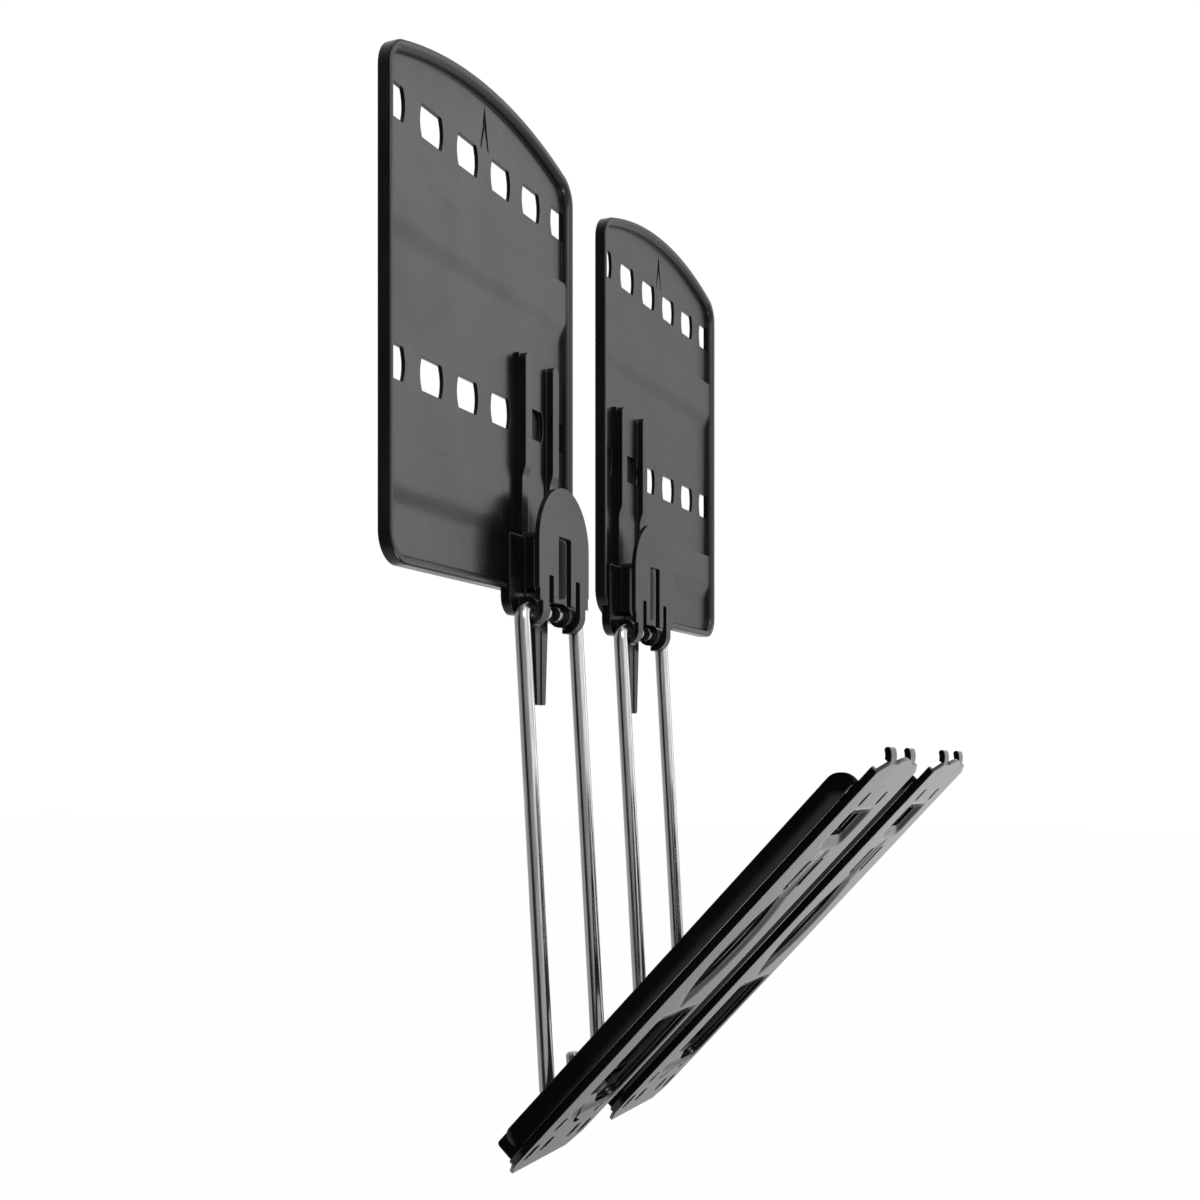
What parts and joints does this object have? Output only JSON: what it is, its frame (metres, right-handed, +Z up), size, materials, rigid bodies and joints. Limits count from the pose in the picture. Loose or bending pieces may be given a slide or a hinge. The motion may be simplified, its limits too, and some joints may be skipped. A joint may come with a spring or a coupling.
{
  "type": "tv wall mount",
  "caption": "Low-profile television wall mount: mirrored wall plates, each with a wire support that hangs down and carries a tilting screen rail.",
  "frame": {"origin": "on the wall plane, halfway between the two wall units and halfway between their upper and lower rows of holes", "axes": "+X right along the wall as seen from the room, +Y into the wall, +Z up"},
  "size_m": [0.42, 0.1988, 0.5353],
  "materials": {
    "satin_black": "satin",
    "bracket_black": "satin",
    "clip_black": "gloss",
    "tab_black": "satin",
    "polished_steel": "polished",
    "zinc_grey": "satin",
    "gloss_black": "gloss",
    "channel_black": "gloss",
    "bush_grey": "satin",
    "bar_grey": "satin",
    "strip_black": "satin"
  },
  "bodies": {
    "wall": {"wall_plate_left": "satin_black", "hinge_bracket_left": "bracket_black", "backing_strip_left": "strip_black", "wall_plate_right": "satin_black", "hinge_bracket_right": "bracket_black", "backing_strip_right": "strip_black"},
    "clip_left": {"latch_clip_left": "clip_black"},
    "tab_left": {"pull_tab_left": "tab_black"},
    "wire_left": {"support_wire_left": "polished_steel", "wire_stud_left": "zinc_grey"},
    "rail_left": {"rail_face_left": "gloss_black", "rail_channel_left": "channel_black", "pivot_clamps_left": "bush_grey", "lock_bar_left": "bar_grey"},
    "clip_right": {"latch_clip_right": "clip_black"},
    "tab_right": {"pull_tab_right": "tab_black"},
    "wire_right": {"support_wire_right": "polished_steel", "wire_stud_right": "zinc_grey"},
    "rail_right": {"rail_face_right": "gloss_black", "rail_channel_right": "channel_black", "pivot_clamps_right": "bush_grey", "lock_bar_right": "bar_grey"}
  },
  "joints": [
    {"name": "wire_swing_left", "type": "hinge", "parent": "wall", "child": "wire_left", "pos_m": [-0.063, -0.0117, -0.156], "axis": [-1, 0, 0], "range_deg": [0, 45]},
    {"name": "rail_tilt_left", "type": "hinge", "parent": "wire_left", "child": "rail_left", "pos_m": [-0.063, -0.02635, -0.40257], "axis": [-1, 0, 0], "range_deg": [0, 42.9]},
    {"name": "clip_press_left", "type": "hinge", "parent": "wall", "child": "clip_left", "pos_m": [-0.063, -0.0117, -0.156], "axis": [-1, 0, 0], "range_deg": [0, 6]},
    {"name": "tab_pull_left", "type": "slide", "parent": "wall", "child": "tab_left", "axis": [0, 0, -1], "range_m": [0, 0.006], "stiffness_N_per_m": 150, "springref_m": -0.01},
    {"name": "wire_swing_right", "type": "hinge", "parent": "wall", "child": "wire_right", "pos_m": [0.063, -0.0117, -0.156], "axis": [-1, 0, 0], "range_deg": [0, 45]},
    {"name": "rail_tilt_right", "type": "hinge", "parent": "wire_right", "child": "rail_right", "pos_m": [0.063, -0.02635, -0.40257], "axis": [-1, 0, 0], "range_deg": [0, 42.9]},
    {"name": "clip_press_right", "type": "hinge", "parent": "wall", "child": "clip_right", "pos_m": [0.063, -0.0117, -0.156], "axis": [-1, 0, 0], "range_deg": [0, 6]},
    {"name": "tab_pull_right", "type": "slide", "parent": "wall", "child": "tab_right", "axis": [0, 0, -1], "range_m": [0, 0.006], "stiffness_N_per_m": 150, "springref_m": -0.01}
  ]
}
